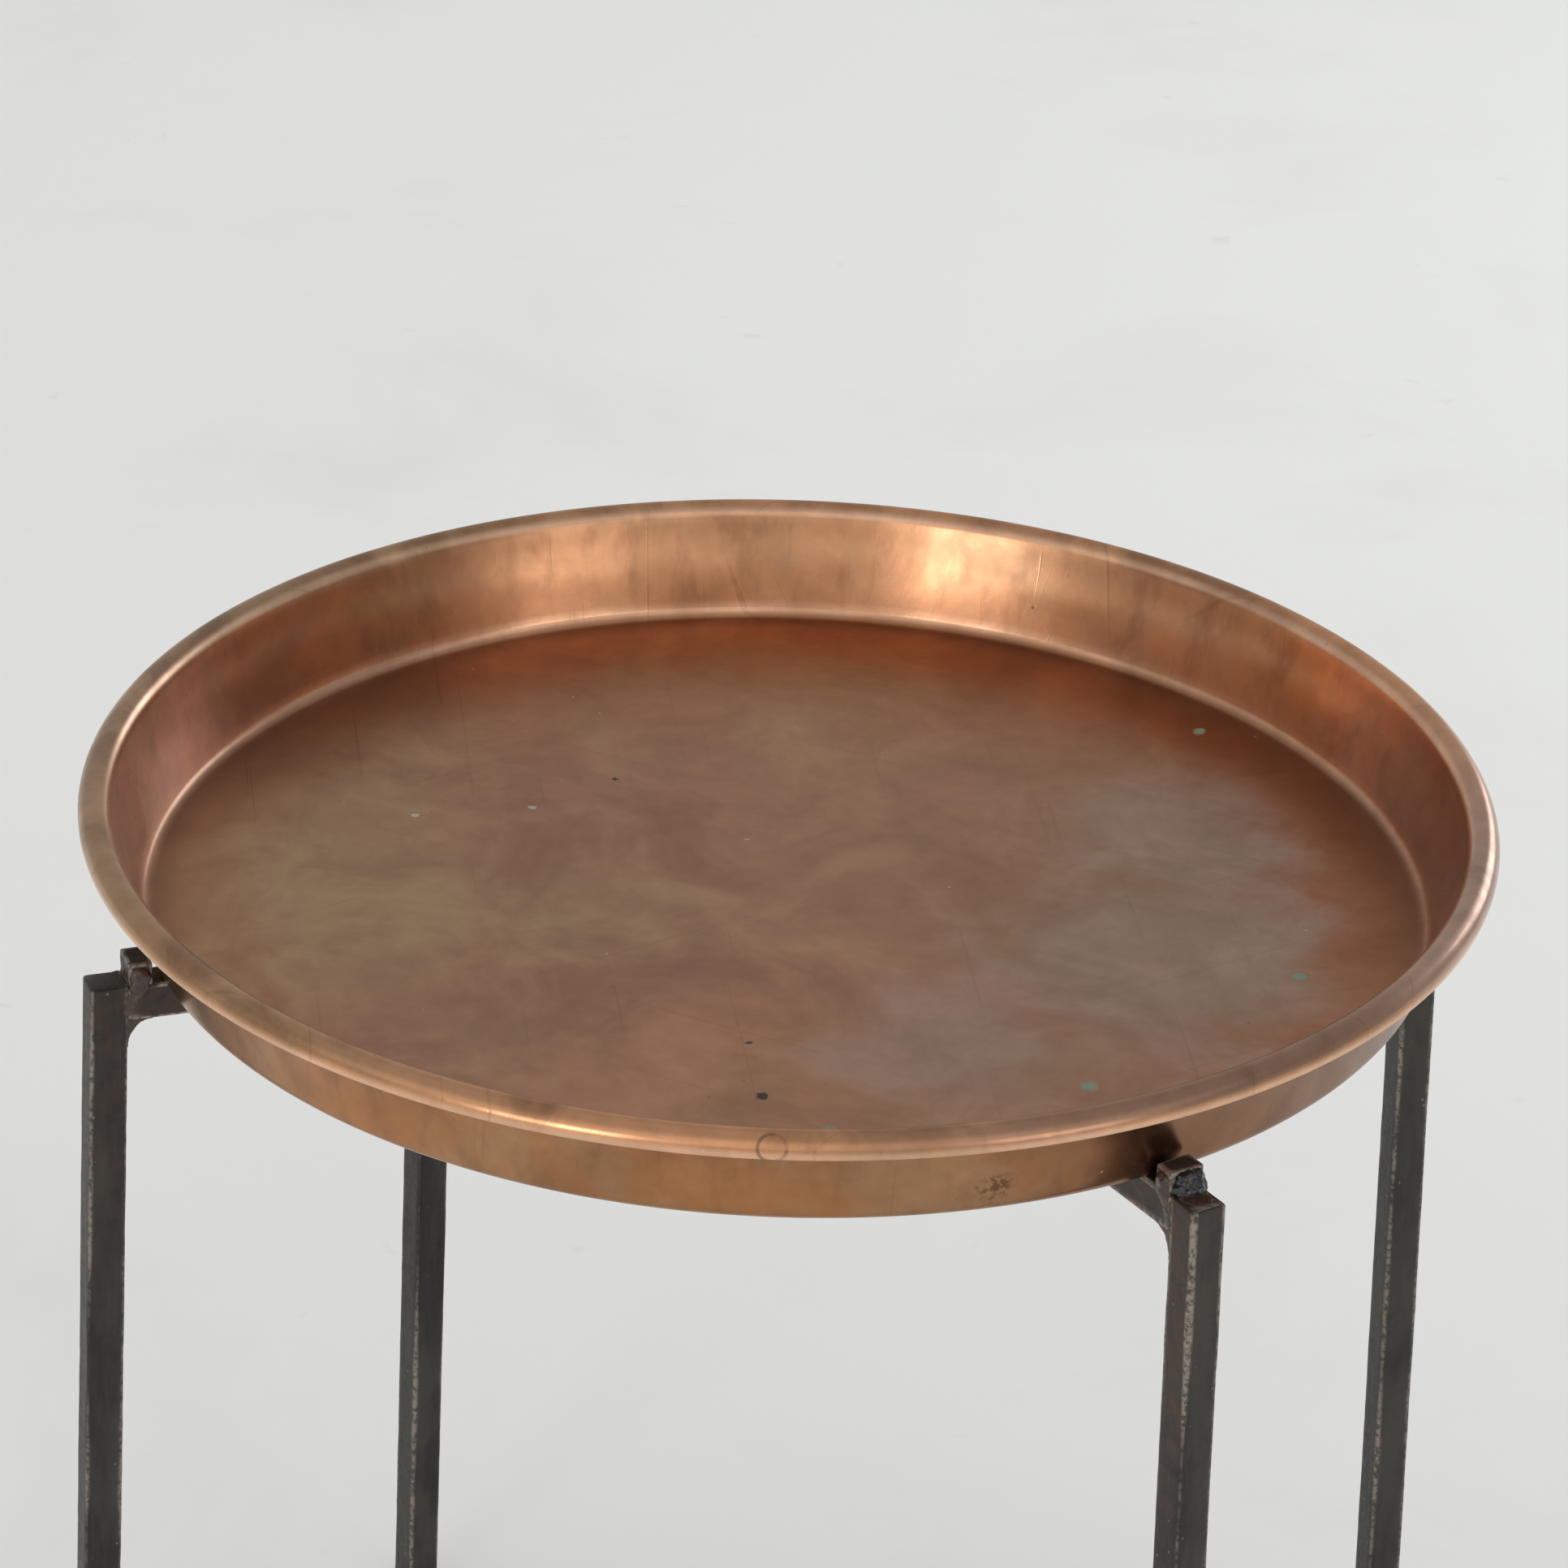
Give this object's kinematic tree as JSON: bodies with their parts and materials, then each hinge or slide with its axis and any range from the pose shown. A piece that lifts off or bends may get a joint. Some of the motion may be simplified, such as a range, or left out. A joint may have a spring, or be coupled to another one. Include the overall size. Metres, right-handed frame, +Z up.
{
  "type": "tray table",
  "caption": "Round shallow tray with a rolled rim, resting loose on a folding stand of square iron bar that holds drinks and dishes at side-table height.",
  "frame": {"origin": "on the floor, straight under the centre of the tray", "axes": "+Z up; +X halves the narrow angle between the two crossbars, so the legs stand at 38, 142, 218 and 322 degrees round from +X; the picture's front right leg is at 322 degrees"},
  "size_m": [0.6, 0.6, 0.59],
  "materials": {
    "copper": null,
    "black_iron": "blackened wrought bar under old lacquer, brown rust showing through",
    "weld_metal": "weld metal, smooth brown pads and lumpy glossy black beads"
  },
  "bodies": {
    "lower_frame": {"crossbar_lower": "black_iron", "pivot_rivet": "black_iron", "leg_front_left": "black_iron", "tray_stop_front_left": "black_iron", "corner_weld_front_left": "weld_metal", "side_welds_front_left": "weld_metal", "leg_back_right": "black_iron", "tray_stop_back_right": "black_iron", "corner_weld_back_right": "weld_metal", "side_welds_back_right": "weld_metal"},
    "upper_frame": {"crossbar_upper": "black_iron", "leg_front_right": "black_iron", "tray_stop_front_right": "black_iron", "corner_weld_front_right": "weld_metal", "stop_bead_front_right": "weld_metal", "side_welds_front_right": "weld_metal", "leg_back_left": "black_iron", "tray_stop_back_left": "black_iron", "corner_weld_back_left": "weld_metal", "stop_bead_back_left": "weld_metal", "side_welds_back_left": "weld_metal"},
    "tray": {"tray": "copper"}
  },
  "joints": [
    {"name": "stand_fold", "type": "hinge", "parent": "lower_frame", "child": "upper_frame", "pos_m": [0, 0, 0.5305], "axis": [0, 0, 1], "range_deg": [-75, 47]},
    {"name": "tray_lift", "type": "slide", "parent": "lower_frame", "child": "tray", "axis": [0, 0, 1], "range_m": [0, 0.12]}
  ]
}
